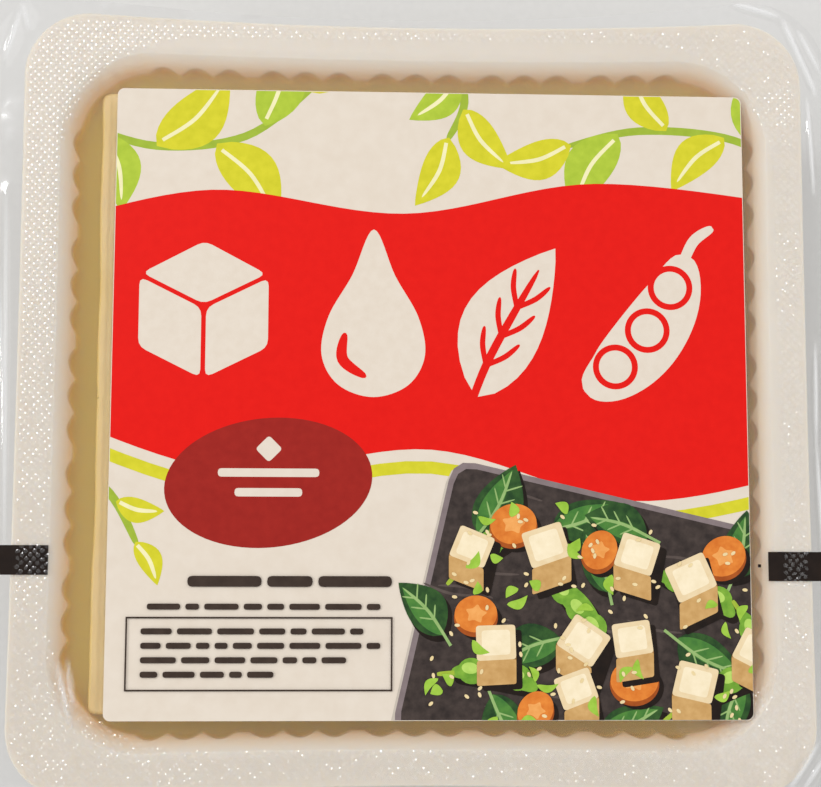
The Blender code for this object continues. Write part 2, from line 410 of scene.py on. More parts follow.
def soya_cloud():
    """The soya that leaves the block clouds its water: light turns back after about 4 mm, so
    the deep gap glows evenly and its floor can't be seen."""
    made, tree = material_tree("suspended soya")
    surface = node(tree, "ShaderNodeBsdfTransparent")
    body = node(tree, "ShaderNodeVolumeScatter", {"Color": (1.0, 1.0, 1.0, 1), "Density": 280.0})
    node(tree, "ShaderNodeOutputMaterial", {"Surface": surface, "Volume": body})
    return made


def filling(name, into_wall, into_block, material):
    """A closed body of liquid that reaches a little into the wall and the block."""
    rows = [
        (ring(wall_points(-8 * mm), water_level - into_wall), 0.0, 0.0),
        (ring(wall_points(into_wall), water_level - into_wall), 1.0, 0.0),
        *reversed(wall(water_low, water_level, into_wall - wall_draft, into_wall)),
        (ring(wall_points(into_wall - wall_draft), water_low), 0.0, 0.0),
        (ring(block_points(into_block, 3.5 * mm), water_low), 0.0, 0.0),
        (ring(block_points(into_block), block_high.z - into_block), 0.0, 0.0),
    ]
    made = fluted(name, rows, material)
    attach(made, "root")
    return made


water = filling("soaking_water", 0.1 * mm, 0.5 * mm, soaking_water())
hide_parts("water")
filling("suspended_soya", 0.05 * mm, 0.45 * mm, soya_cloud())

# ---- The lid film ----
# Clear laminate film, cut square by the sealing machine and welded to the flange. Inside the
# weld it is stretched flat; outside it hangs free, curls at the corners and creases.
film_sheet = 0.08 * mm
film_level = flange_top + 0.3 * mm
film_half = (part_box("lid_film")[1].x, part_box("lid_film")[1].y)
film_corners = (15 * mm, 5 * mm, 6 * mm, 9 * mm)
film_bow = (1.6 * mm, 4.4 * mm)
film_grip = 0.8 * mm
film_droop = 0.2 * mm
film_curl = (2.4 * mm, 1.1 * mm, 0.6 * mm, 1.4 * mm)
film_ripple = 0.1 * mm
film_steps = (200, 24)
# Each crease runs from one point to another (mm from the middle), then its height and half width.
creases = (
    ((-72.1, 70.9), (-75.1, 61.2), 0.3, 0.75),
    ((-71.9, 71.5), (-71.0, 67.0), 0.26, 0.65),
    ((-74.1, 37.0), (-72.4, -28.0), 0.25, 0.65),
    ((-75.2, 24.0), (-73.6, 2.0), 0.24, 0.6),
    ((59.0, 74.0), (67.3, 71.7), 0.5, 0.7),
    ((68.3, 70.9), (74.2, 57.0), 0.6, 0.7),
    ((71.0, 69.0), (75.0, 61.0), 0.35, 0.6),
    ((72.6, 56.0), (73.4, 38.0), 0.4, 0.6),
    ((72.9, 10.0), (72.6, -8.0), 0.4, 0.6),
    ((72.6, -8.0), (73.6, -36.0), 0.42, 0.6),
    ((66.0, -69.5), (71.5, -61.5), 0.4, 0.7),
    ((68.5, -69.5), (72.8, -63.5), 0.35, 0.6),
    ((-62.7, -47.4), (-60.0, -58.4), 0.3, 0.75),
    ((-60.9, -46.8), (-59.6, -55.0), 0.26, 0.65),
)


def rounded_distance(x, y, half, radius):
    """How far a place lies outside a rounded rectangle, negative inside it."""
    beyond_x = np.abs(x) - half[0] + radius
    beyond_y = np.abs(y) - half[1] + radius
    outer = np.hypot(np.maximum(beyond_x, 0), np.maximum(beyond_y, 0))
    return outer + np.minimum(np.maximum(beyond_x, beyond_y), 0) - radius


def beyond_flange(x, y):
    """How far a place lies outside the flange's edge, negative on the flange."""
    bow_x = flange_bow[0] * (1 - np.clip(y / flange_half[1], -1, 1) ** 2)
    bow_y = flange_bow[1] * (1 - np.clip(x / flange_half[0], -1, 1) ** 2)
    return rounded_distance(np.abs(x) + bow_x, np.abs(y) + bow_y, flange_half, flange_radius)


def folds(x, y, narrow=1.0):
    """How high the creases stand at arrays of places; narrow thins them down to their ridges."""
    height = np.zeros(len(x))
    for start, end, rise, width in creases:
        start, end = np.array(start) * mm, np.array(end) * mm
        run = end - start
        nearest = np.clip(((x - start[0]) * run[0] + (y - start[1]) * run[1]) / (run @ run), 0, 1)
        away = np.hypot(x - start[0] - nearest * run[0], y - start[1] - nearest * run[1])
        taper = np.sin(np.pi * (0.06 + 0.88 * nearest))
        height += rise * mm * taper * np.exp(-(away / (width * mm * narrow)) ** 2)
    return height


def film_height(x, y):
    """The film's height at arrays of places: level on the tray, loose beyond its edge."""
    loose = np.maximum(beyond_flange(x, y) + film_grip, 0) / (5 * mm)
    cornerness = (np.abs(x) / film_half[0] * np.abs(y) / film_half[1]) ** 8
    quarter = np.floor(np.arctan2(y, x) / (math.pi / 2)).astype(int) % 4
    height = film_level + np.array(film_curl)[quarter] * cornerness * loose ** 2
    height = height - film_droop * (1 - cornerness) * loose ** 2 / (0.4 + loose)
    height = height + folds(x, y)
    ripple = [noise.noise(Vector((a, b, 0)) / (9 * mm)) + 0.4 * noise.noise(Vector((a, b, 9)) / (3.5 * mm))
              for a, b in zip(x, y)]
    return height + film_ripple * np.array(ripple) * np.clip(loose, 0, 1)


def clear_film(name, roughness, bump_height, clearness, milkiness, ior=1.5):
    """Clear laminate film: all but invisible head on, glossy where it bends, with the faint
    milkiness of a film that has been handled. Along the creases the milky white is raised: partly
    the real whitening of folded film, partly a painted highlight along each crease. Only
    its outer face shines, as the inner one is wet."""
    made, tree = material_tree(name)
    place = node(tree, "ShaderNodeTexCoord").outputs["Object"]
    ripple = node(tree, "ShaderNodeTexNoise", {"Vector": place, "Scale": 1 / (7 * mm), "Detail": 2.0})
    bump = node(tree, "ShaderNodeBump", {"Height": ripple, "Strength": 0.3, "Distance": bump_height})
    clear = node(tree, "ShaderNodeBsdfTransparent", {"Color": (clearness, clearness, clearness, 1)})
    milk = node(tree, "ShaderNodeBsdfDiffuse", {"Color": (0.8, 0.8, 0.8, 1)})
    # Painted highlight, partly real whitening: the milky white share rises along the creases' ridges.
    crease_white_and_highlight = node(tree, "ShaderNodeAttribute", attribute_name="crease_white_and_highlight").outputs["Fac"]
    whitened = node(tree, "ShaderNodeMath", {0: crease_white_and_highlight, 1: 0.4, 2: milkiness}, operation="MULTIPLY_ADD")
    body = node(tree, "ShaderNodeMixShader", {0: whitened, 1: clear, 2: milk})
    gloss = node(tree, "ShaderNodeBsdfGlossy", {"Roughness": roughness, "Normal": bump})
    mirror = node(tree, "ShaderNodeFresnel", {"IOR": ior, "Normal": bump})
    inner = node(tree, "ShaderNodeNewGeometry").outputs["Backfacing"]
    outer = node(tree, "ShaderNodeMath", {0: 1.0, 1: inner}, operation="SUBTRACT")
    share = node(tree, "ShaderNodeMath", {0: mirror, 1: outer}, operation="MULTIPLY")
    surface = node(tree, "ShaderNodeMixShader", {0: share, 1: body, 2: gloss})
    node(tree, "ShaderNodeOutputMaterial", {"Surface": surface})
    return made


film_held = outline([h - film_grip for h in flange_half], [flange_radius - film_grip] * 4, flange_bow,
                    film_steps)[0]
film_free = outline(film_half, film_corners, film_bow, film_steps)[0]
film_inner = wall_points(-4.5 * mm, film_steps)
film_rows = [film_inner + (film_held - film_inner) * share for share in np.linspace(0, 1, 29)[:-1]]
film_rows += [film_held + (film_free - film_held) * share for share in np.linspace(0, 1, 24)]
film_top = [ring(points, film_height(points[:, 0], points[:, 1])) for points in film_rows]
film_under = [row - np.array((0, 0, film_sheet)) for row in film_top]
film = lofted("clear_lid_film", film_top + film_under[::-1])
film_places = np.concatenate(film_top + film_under[::-1])
# Where the creases' ridges run: a milky white that is partly the real whitening of folded film and partly a painted
# highlight.
ridges = np.minimum(folds(film_places[:, 0], film_places[:, 1], 0.5) / (0.3 * mm), 1)
film.data.attributes.new("crease_white_and_highlight", "FLOAT", "POINT").data.foreach_set("value", ridges)
film.data.materials.append(clear_film("clear laminate film", 0.06, 0.25 * mm, 0.975, 0.015))
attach(film, "root")
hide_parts("lid_film")

# ---- The register marks ----
# A black bar printed on each side of the film, which the sealing machine's eye reads to cut
# the film in the right place. They run out to the film's cut edge, and follow its creases.
mark_sheet = 0.03 * mm
mark_reach = 74.7 * mm
marks = ((-mark_reach, -64.7 * mm, -32.0 * mm, -26.8 * mm), (63.3 * mm, mark_reach, -32.8 * mm, -27.6 * mm))
mark_step = 0.4 * mm
fleck = (61.7 * mm, -30.1 * mm)
fleck_radius = 0.28 * mm


def printed(name, dark, light, roughness=0.42, mottle_size=2.5 * mm):
    """Gravure ink under a matt varnish: two close shades in a soft mottle, with the faint
    relief of 0.4 mm cells and little shine."""
    made, tree = material_tree(name)
    place = node(tree, "ShaderNodeTexCoord").outputs["Object"]
    mottle = node(tree, "ShaderNodeTexNoise", {"Vector": place, "Scale": 1 / mottle_size, "Detail": 4.0})
    spread = node(tree, "ShaderNodeMapRange", {"Value": mottle, "From Min": 0.3, "From Max": 0.7})
    tint = node(tree, "ShaderNodeMix", {0: spread, 6: paint(dark), 7: paint(light)}, data_type="RGBA")
    cells = node(tree, "ShaderNodeTexVoronoi", {"Vector": place, "Scale": 1 / (0.4 * mm)})
    bump = node(tree, "ShaderNodeBump", {"Height": cells, "Strength": 0.05, "Distance": 0.02 * mm})
    shader = node(tree, "ShaderNodeBsdfPrincipled", {
        "Base Color": tint.outputs[2], "Roughness": roughness, "IOR": 1.5, "Specular IOR Level": 0.08,
        "Normal": bump})
    node(tree, "ShaderNodeOutputMaterial", {"Surface": shader})
    return made


def patch(low_x, high_x, low_y, high_y):
    """Points and faces of a thin closed sheet that lies on the film."""
    across = int((high_x - low_x) / mark_step) + 1
    along = int((high_y - low_y) / mark_step) + 1
    x, y = np.meshgrid(np.linspace(low_x, high_x, across), np.linspace(low_y, high_y, along))
    x, y = x.ravel(), y.ravel()
    top = np.column_stack((x, y, film_height(x, y) + mark_sheet))
    points = np.concatenate((top, top - np.array((0, 0, mark_sheet * 1.3)))).tolist()
    faces = []
    for row in range(along - 1):
        for column in range(across - 1):
            corner = row * across + column
            face = [corner, corner + 1, corner + across + 1, corner + across]
            faces += [face, [i + len(x) for i in reversed(face)]]
    rim = [*range(across), *range(2 * across - 1, along * across, across),
           *range(along * across - 2, (along - 1) * across - 1, -1),
           *range((along - 2) * across, 0, -across)]
    for here, after in zip(rim, rim[1:] + rim[:1]):
        faces.append([after, here, here + len(x), after + len(x)])
    return points, faces


mark_points, mark_faces = [], []
for sides in (*marks, (fleck[0] - fleck_radius, fleck[0] + fleck_radius,
                       fleck[1] - fleck_radius, fleck[1] + fleck_radius)):
    points, faces = patch(*sides)
    mark_faces += [[i + len(mark_points) for i in face] for face in faces]
    mark_points += points
mark_mesh = bpy.data.meshes.new("register_marks")
mark_mesh.from_pydata(mark_points, [], mark_faces)
mark_mesh.materials.append(printed("black register ink", "#19120F", "#231A15"))
register = bpy.data.objects.new("register_marks", mark_mesh)
bpy.context.scene.collection.objects.link(register)
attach(register, "root")

# ---- The seal ----
# The heated jaw that welds the film to the flange has a diamond knurl, 1.46 mm from corner to
# corner. It leaves a band of small raised dots in the film, which glint as they catch a lamp.
knurl = 1.46 * mm
dot_sizes = {"Radius": 0.48 * mm, "Height": 0.058 * mm}
seal_half = (65.2 * mm, 64.0 * mm)
seal_shift = (0.6 * mm, 1.8 * mm)
seal_radius = 24 * mm
seal_margin = 0.9 * mm


def seal_lattice():
    """Places of the dots on the film and its marks, how far each may be tipped at random, and
    how the film under them leans. The jaw pressed it most evenly at the far left."""
    steps = int(2 * flange_half[0] / knurl) + 2
    column, row = np.meshgrid(np.arange(-steps, steps), np.arange(-steps, steps))
    x, y = column.ravel() * knurl / 2, row.ravel() * knurl / 2
    inner = rounded_distance(x - seal_shift[0], y - seal_shift[1], seal_half, seal_radius)
    keep = ((column + row).ravel() % 2 == 0) & (beyond_flange(x, y) < -seal_margin) & (inner > 0)
    x, y = x[keep], y[keep]
    height = film_height(x, y) - 0.01 * mm
    for low_x, high_x, low_y, high_y in marks:
        height = height + mark_sheet * ((x > low_x) & (x < high_x) & (y > low_y) & (y < high_y))
    from_corner = np.hypot(1.3 * (x + flange_half[0]), y - flange_half[1]) / (2 * flange_half[0])
    uneven = np.minimum(from_corner, 1.1) ** 2
    pulled = np.exp(-(np.hypot(x - 68.5 * mm, (y - 54 * mm) / 1.5) / (5 * mm)) ** 2)
    tip = np.radians(3 + 9 * uneven * (1 - pulled))
    lean = np.array([noise.noise_vector(Vector((a, b, 0)) / (13 * mm)) for a, b in zip(x, y)])
    lean = np.radians(9 * uneven * (1 - pulled))[:, None] * lean
    lean -= np.outer(pulled, np.radians((4, 12, 0)))
    return np.column_stack((x, y, height)), tip, lean * (1, 1, 0)


def knurl_tree():
    """Geometry Nodes that set a low round dot on every point, leant with the film under it and
    tipped its own way."""
    tree = bpy.data.node_groups.new("knurled seal", "GeometryNodeTree")
    tree.is_modifier = True
    tree.interface.new_socket("Geometry", in_out="INPUT", socket_type="NodeSocketGeometry")
    for name in dot_sizes:
        tree.interface.new_socket(name, in_out="INPUT", socket_type="NodeSocketFloat")
    tree.interface.new_socket("Seed", in_out="INPUT", socket_type="NodeSocketInt")
    tree.interface.new_socket("Skin", in_out="INPUT", socket_type="NodeSocketMaterial")
    tree.interface.new_socket("Geometry", in_out="OUTPUT", socket_type="NodeSocketGeometry")
    value = node(tree, "NodeGroupInput").outputs
    cone = node(tree, "GeometryNodeMeshCone", {
        "Vertices": 8, "Side Segments": 2, "Radius Top": 0.0, "Radius Bottom": value["Radius"],
        "Depth": value["Height"]})
    spot = node(tree, "GeometryNodeInputPosition")
    split = node(tree, "ShaderNodeSeparateXYZ", {0: spot})
    rise = node(tree, "ShaderNodeMath", {0: split.outputs["Z"], 1: value["Height"]}, operation="DIVIDE")
    full = node(tree, "ShaderNodeMath", {0: 2.0, 1: rise}, operation="SUBTRACT")
    full = node(tree, "ShaderNodeMath", {0: split.outputs["Z"], 1: full}, operation="MULTIPLY")
    domed = node(tree, "ShaderNodeCombineXYZ", {0: split.outputs["X"], 1: split.outputs["Y"], 2: full})
    dot = node(tree, "GeometryNodeSetPosition", {"Geometry": cone, "Position": domed})
    tall = node(tree, "FunctionNodeRandomValue", {2: 0.8, 3: 1.2, "Seed": value["Seed"]}, data_type="FLOAT")
    size = node(tree, "ShaderNodeCombineXYZ", {"X": 1.0, "Y": 1.0, "Z": tall.outputs[1]})
    most = node(tree, "GeometryNodeInputNamedAttribute", {"Name": "tip"}, data_type="FLOAT")
    least = node(tree, "ShaderNodeMath", {0: most, 1: -1.0}, operation="MULTIPLY")
    low = node(tree, "ShaderNodeCombineXYZ", {"X": least, "Y": least, "Z": 0.0})
    high = node(tree, "ShaderNodeCombineXYZ", {"X": most, "Y": most, "Z": 0.0})
    tip = node(tree, "FunctionNodeRandomValue", {0: low, 1: high, "Seed": value["Seed"]}, data_type="FLOAT_VECTOR")
    lean = node(tree, "GeometryNodeInputNamedAttribute", {"Name": "lean"}, data_type="FLOAT_VECTOR")
    tilt = node(tree, "ShaderNodeVectorMath", {0: tip.outputs[0], 1: lean}, operation="ADD")
    turn = node(tree, "FunctionNodeEulerToRotation", {0: tilt})
    placed = node(tree, "GeometryNodeInstanceOnPoints", {
        "Points": value["Geometry"], "Instance": dot, "Rotation": turn, "Scale": size})
    real = node(tree, "GeometryNodeRealizeInstances", {"Geometry": placed})
    named = node(tree, "GeometryNodeSetMaterial", {"Geometry": real, "Material": value["Skin"]})
    node(tree, "NodeGroupOutput", {"Geometry": named})
    return tree


places, tip, lean = seal_lattice()
seal_mesh = bpy.data.meshes.new("knurled_seal")
seal_mesh.from_pydata(places.tolist(), [], [])
seal_mesh.attributes.new("tip", "FLOAT", "POINT").data.foreach_set("value", tip)
seal_mesh.attributes.new("lean", "FLOAT_VECTOR", "POINT").data.foreach_set("vector", lean.ravel())
seal = bpy.data.objects.new("knurled_seal", seal_mesh)
bpy.context.scene.collection.objects.link(seal)
knurled_film = clear_film("knurled film", 0.2, 0.0, 1.0, 0.0, 1.7)
seal = shaped(seal, knurl_tree(), {**dot_sizes, "Seed": 7, "Skin": knurled_film})
seal.data.shade_smooth()
seal.data.set_sharp_from_angle(angle=math.radians(50))
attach(seal, "root")

# ---- The printed panel ----
# A square patch of opaque print on the film: a white ground, and on it a picture in flat inks.
# A red band carries plain white motifs, with leaves above it and cut vegetables on a slate below.
panel_low, panel_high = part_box("print_panel")
panel_centre = ((panel_low.x + panel_high.x) / 2, (panel_low.y + panel_high.y) / 2)
panel_half = ((panel_high.x - panel_low.x) / 2, (panel_high.y - panel_low.y) / 2)
panel_radius = 1.2 * mm
panel_steps = (2, 5)
panel_under = film_level + 0.05 * mm
panel_top = panel_under + 0.2 * mm
ink_inset = 0.12 * mm
plate_step = 0.0008 * mm
plate_sheet = 0.01 * mm


def flat_prisms(name, plates, material):
    """Thin closed plates in one mesh: an outline in metres, its underside and its top for each."""
    points, faces = [], []
    for shape, under, top in plates:
        first, count = len(points), len(shape)
        points += [(x, y, top) for x, y in shape] + [(x, y, under) for x, y in shape]
        faces.append([first + i for i in range(count)])
        faces.append([first + count + i for i in reversed(range(count))])
        for i in range(count):
            j = (i + 1) % count
            faces.append([first + j, first + i, first + count + i, first + count + j])
    mesh = bpy.data.meshes.new(name)
    mesh.from_pydata(points, [], faces)
    mesh.materials.append(material)
    made = bpy.data.objects.new(name, mesh)
    bpy.context.scene.collection.objects.link(made)
    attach(made, "root")
    return made


def panel_outline(inset):
    """The panel's outline in metres, drawn in by inset."""
    points = outline([h - inset for h in panel_half], [panel_radius] * 4, (0, 0), panel_steps)[0]
    return points + np.array(panel_centre)


ground = flat_prisms("print_ground", [(panel_outline(0.0).tolist(), panel_under, panel_top)],
                     printed("white print ground", "#D1C5B6", "#D5CABC"))
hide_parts("print_panel")
print_edge = panel_outline(ink_inset)
drawn = []


def trimmed(shape):
    """Cut an outline, in mm from the panel's middle, to the print's edge; metres come back."""
    kept = [(x * mm + panel_centre[0], y * mm + panel_centre[1]) for x, y in shape]
    for i in range(len(print_edge)):
        (ax, ay), (bx, by) = print_edge[i - 1], print_edge[i]
        cut = []
        for j, (x, y) in enumerate(kept):
            before_x, before_y = kept[j - 1]
            side = (bx - ax) * (y - ay) - (by - ay) * (x - ax)
            side_before = (bx - ax) * (before_y - ay) - (by - ay) * (before_x - ax)
            if (side >= 0) != (side_before >= 0):
                share = side_before / (side_before - side)
                cut.append((before_x + (x - before_x) * share, before_y + (y - before_y) * share))
            if side >= 0:
                cut.append((x, y))
        kept = cut
    area = sum(kept[j - 1][0] * y - x * kept[j - 1][1] for j, (x, y) in enumerate(kept))
    return kept if area > 0 else kept[::-1]


def draw(ink, *shapes):
    """Print shapes in one ink, over whatever was drawn before them."""
    for shape in shapes:
        cut = trimmed(shape)
        if len(cut) > 2:
            drawn.append((ink, cut))


def turned(points, x=0.0, y=0.0, turn=0.0):
    """Turn points about the origin by degrees, then move them."""
    c, s = math.cos(math.radians(turn)), math.sin(math.radians(turn))
    return [(x + a * c - b * s, y + a * s + b * c) for a, b in points]


def smooth(points, steps=10, closed=True):
    """A smooth curve through points, by Catmull and Rom's rule."""
    count = len(points)
    curve = []
    for i in range(count if closed else count - 1):
        p0, p1, p2, p3 = (np.array(points[k % count] if closed else points[min(max(k, 0), count - 1)])
                          for k in (i - 1, i, i + 1, i + 2))
        for step in range(steps):
            t = step / steps
            curve.append(tuple(0.5 * (2 * p1 + (p2 - p0) * t + (2 * p0 - 5 * p1 + 4 * p2 - p3) * t ** 2
                                      + (3 * p1 - p0 - 3 * p2 + p3) * t ** 3)))
    if not closed:
        curve.append(tuple(points[-1]))
    return curve


def ellipse(x, y, across, up, turn=0.0, count=40):
    """An ellipse by its middle, its half width and half height, turned by degrees."""
    angles = [2 * math.pi * i / count for i in range(count)]
    return turned([(across * math.cos(a), up * math.sin(a)) for a in angles], x, y, turn)


def stroke(points, width, ends=(0.3, 0.3)):
    """A brush stroke along a smooth curve; ends are the shares of its width left at its tips."""
    line = np.array(smooth(points, 8, closed=False))
    run = np.gradient(line, axis=0)
    side = np.column_stack((-run[:, 1], run[:, 0])) / np.hypot(run[:, 0], run[:, 1])[:, None]
    t = np.linspace(0, 1, len(line))
    swell = np.sin(np.pi * t) ** 0.6
    half = width / 2 * (swell + (1 - swell) * (ends[0] * (1 - t) + ends[1] * t))
    left, right = line + side * half[:, None], line - side * half[:, None]
    return [tuple(p) for p in np.concatenate((right, left[::-1]))]


def leaf(x, y, length, width, turn, bend=0.15):
    """A leaf from its stalk end, pointing along turn."""
    shape = []
    for side in (1, -1):
        for i in range(14):
            t = i / 14 if side == 1 else 1 - i / 14
            half = width / 2 * math.sin(math.pi * t ** 0.8) ** 0.9 * side
            shape.append((length * t, -half - bend * length * math.sin(math.pi * t)))
    return turned(shape, x, y, turn)


def rounded(corners, radius):
    """Soften the corners of a straight-sided shape."""
    shape = []
    for i, corner in enumerate(corners):
        corner = np.array(corner)
        before, after = np.array(corners[i - 1]), np.array(corners[(i + 1) % len(corners)])
        enter = corner + (before - corner) * radius / np.linalg.norm(before - corner)
        leave = corner + (after - corner) * radius / np.linalg.norm(after - corner)
        for t in (0, 0.33, 0.67, 1):
            shape.append(tuple((1 - t) ** 2 * enter + 2 * t * (1 - t) * corner + t * t * leave))
    return shape


def bar(x, y, length, height):
    """A short level bar with round ends."""
    return rounded([(x, y), (x + length, y), (x + length, y + height), (x, y + height)], height * 0.45)


def shrunk(shape, share):
    """Draw a shape's points towards its middle."""
    middle = np.mean(np.array(shape), axis=0)
    return [tuple(middle + (np.array(p) - middle) * share) for p in shape]


def sprig(points, size, pairs):
    """A stalk with leaves to either side of it and one at its tip."""
    line = smooth(points, 12, closed=False)
    draw("stem", stroke(points, 1.5, (0.9, 0.5)))
    for k in range(pairs * 2 + 1):
        at = min(len(line) - 2, int((k + 0.8) / (pairs * 2 + 1) * (len(line) - 1)))
        if k == pairs * 2:
            at = len(line) - 2
        (x, y), (x1, y1) = line[at], line[at + 1]
        heading = math.degrees(math.atan2(y1 - y, x1 - x))
        turn = heading + (0 if k == pairs * 2 else (52 if k % 2 else -55) + 9 * math.sin(3.1 * k + x))
        long = size * (1 + 0.14 * math.sin(5.3 * k + y))
        bend = 0.1 if k % 2 else -0.1
        draw("yellow_leaf" if k % 3 else "green_leaf", leaf(x, y, long, long * 0.5, turn, bend))
        rib = [(0.08, 0), (0.45, -0.8 * bend), (0.86, -0.32 * bend)]
        draw("vein", stroke(turned([(u * long, w * long) for u, w in rib], x, y, turn), 0.75, (0.9, 0.1)))


sprig([(-64, 50), (-50, 46), (-34, 48), (-22, 57)], 17, 2)
sprig([(66, 44), (54, 49), (38, 50), (25, 47)], 16, 2)
sprig([(4, 64), (6, 55), (3, 48)], 13, 1)
sprig([(-66, -10), (-57, -17), (-52, -26)], 9.5, 1)
band_top = [(-70, 31), (-40, 38), (-5, 34), (30, 40), (70, 36)]
band_low = [(70, -12), (36, -18), (0, -9), (-36, -13), (-70, -2)]
draw("yellow_leaf", stroke([(x, y - 3.2) for x, y in band_low], 2.2, (1, 1)))
draw("red", smooth(band_top, 12, closed=False) + smooth(band_low, 12, closed=False))
draw("maroon", ellipse(-29, -15, 18.5, 11.5, 6, 80))
draw("white", rounded([(-29, -6.6), (-26.6, -9), (-29, -11.4), (-31.4, -9)], 0.6))
draw("white", bar(-38, -14, 18, 1.5), bar(-35, -17.5, 12, 1.5))

# The four motifs: a block, a drop of water, a leaf and a bean in its pod.
for face in (((0, 13), (12, 6.6), (0, 0.6), (-12, 6.6)), ((-12, 6.6), (0, 0.6), (0, -13), (-12, -7)),
             ((0, 0.6), (12, 6.6), (12, -7), (0, -13))):
    draw("white", rounded([(-41 + x, 16 + y) for x, y in shrunk(face, 0.93)], 1.5))
draw("white", smooth([(-10.5, 31), (-6.6, 22.5), (-2.4, 15), (-1.2, 8), (-4.2, 2.6), (-10.5, 0.4),
                      (-16.8, 2.6), (-19.8, 8), (-18.6, 15), (-14.4, 22.5)], 8))
draw("red", stroke([(-15.6, 12), (-16, 7.2), (-11.8, 4)], 2.0, (0.2, 0.2)))
motif_leaf = (8, 0.5, 62)
draw("white", leaf(motif_leaf[0], motif_leaf[1], 31, 15, motif_leaf[2], -0.06))
draw("red", stroke(turned([(-3, 0), (8, 1.2), (26, 0.8)], *motif_leaf), 1.5, (1.0, 0.2)))
for along in (6, 12, 18):
    for side in (1, -1):
        rib = [(along, 1.1), (along + 3, 1.1 + 2.3 * side), (along + 6.2, 1.1 + 3.6 * side)]
        draw("red", stroke(turned(rib, *motif_leaf), 1.0, (1.0, 0.2)))
draw("white", stroke([(27.5, 2), (33, 5), (39, 11), (44, 19), (46.5, 27)], 12.5, (0.05, 0.05)))
draw("white", stroke([(45.8, 25), (48, 29.5), (51.5, 32)], 2.0, (1, 0.4)))
for x, y in ((33.3, 6.2), (39.2, 12.9), (43.5, 20.8)):
    draw("red", ellipse(x, y, 4.1, 4.1))
    draw("white", ellipse(x, y, 3.0, 3.0))

# The food: cubes of tofu, bean pods, carrot and spinach on a slate. rng strews what is small.
rng = np.random.default_rng(11)
slate = (31.5, -42.5, -13)
slate_half = (34, 25)


def slate_shape(inset, drop=0.0):
    """The slate's outline, drawn in by inset and moved down by drop."""
    a, b = slate_half[0] - inset, slate_half[1] - inset
    corners = [(-a, -b), (a, -b), (a, b), (-a, b)]
    return rounded(turned(corners, slate[0], slate[1] - drop, slate[2]), 4 - inset * 0.5)


def on_slate(x, y):
    """A place given along the slate's sides, in mm from its middle."""
    return turned([(x, y)], *slate)[0]


def spinach(x, y, length, turn):
    """A spinach leaf with its shadow, pale rib and side veins."""
    x, y = on_slate(x, y)
    draw("shade", leaf(x + 0.7, y - 1.0, length, length * 0.62, turn, 0.08))
    draw("spinach", leaf(x, y, length, length * 0.6, turn, 0.08))
    draw("spinach_light", leaf(x, y, length * 0.92, length * 0.24, turn, -0.02))
    draw("rib", stroke(turned([(-length * 0.2, 0), (length * 0.4, -length * 0.07), (length * 0.9, 0)], x, y, turn),
                       0.55, (1, 0.1)))
    for along in (0.25, 0.45, 0.65):
        for side in (1, -1):
            vein = [(along * length, -0.06 * length), ((along + 0.16) * length, (0.15 * side - 0.06) * length)]
            draw("rib", stroke(turned(vein, x, y, turn), 0.28, (1, 0.2)))


def pod(x, y, turn):
    """A green soya pod: three swellings with a light along each."""
    x, y = on_slate(x, y)
    spine = [(0, 0), (4, 0.9), (8, 1.1), (12, 0.5), (15.5, -0.8)]
    draw("shade", stroke(turned(spine, x + 0.6, y - 1.0, turn), 4.6, (0.1, 0.1)))
    draw("pod", stroke(turned(spine, x, y, turn), 4.2, (0.1, 0.1)))
    for along in (3.6, 7.8, 11.8):
        middle = turned([(along, 0.8)], x, y, turn)[0]
        draw("pod", ellipse(*middle, 2.5, 2.3, turn, 20))
        draw("pod_light", ellipse(middle[0] - 0.3, middle[1] + 0.5, 1.5, 1.0, turn, 16))
    draw("stem", stroke(turned([(-2.4, -0.6), (0.6, 0.1)], x, y, turn), 0.8, (0.6, 1)))


def carrot(x, y, radius, turn):
    """A slice of carrot: a thick edge, a pale ring and a rayed heart."""
    x, y = on_slate(x, y)
    draw("shade", ellipse(x + 0.8, y - 1.3, radius, radius * 0.86, turn))
    draw("carrot_edge", ellipse(x, y - 0.7, radius, radius * 0.86, turn))
    draw("carrot", ellipse(x, y, radius * 0.97, radius * 0.83, turn))
    draw("carrot_heart", smooth([(x + radius * r * math.cos(a), y + 0.86 * radius * r * math.sin(a))
                                 for a, r in ((i * math.pi / 5 + turn, 0.5 if i % 2 else 0.33)
                                              for i in range(10))], 3))


def tofu_cube(x, y, size, turn):
    """A cube of tofu seen from above at a slant: a pale top, a lit front and a browner flank."""
    x, y = on_slate(x, y)
    down = (0.0, -0.62 * size)
    top = turned([(0, 0), (size, 0), (size * 1.02, size * 0.86), (0.02 * size, size * 0.88)], x, y, turn)
    front = [(top[0][0], top[0][1] + down[1]), (top[1][0], top[1][1] + down[1]), top[1], top[0]]
    side = (1, 2) if turn > 0 else (3, 0)
    flank = [(top[side[0]][0], top[side[0]][1] + down[1]), (top[side[1]][0], top[side[1]][1] + down[1]),
             top[side[1]], top[side[0]]]
    draw("shade", rounded([(px + 1.1, py - 0.9) for px, py in (front[0], front[1], top[2], top[3])], 0.6))
    draw("tofu_flank", rounded(flank, 0.3))
    draw("tofu_front", rounded(front, 0.4))
    draw("tofu_top", rounded(top, 0.6))
    draw("tofu_light", rounded(shrunk(top, 0.72), 0.6))


def strewn(count, spread=(31, 22)):
    """Places along the slate's sides, evenly mixed over it."""
    return zip(rng.uniform(-spread[0], spread[0], count), rng.uniform(-spread[1], spread[1], count))


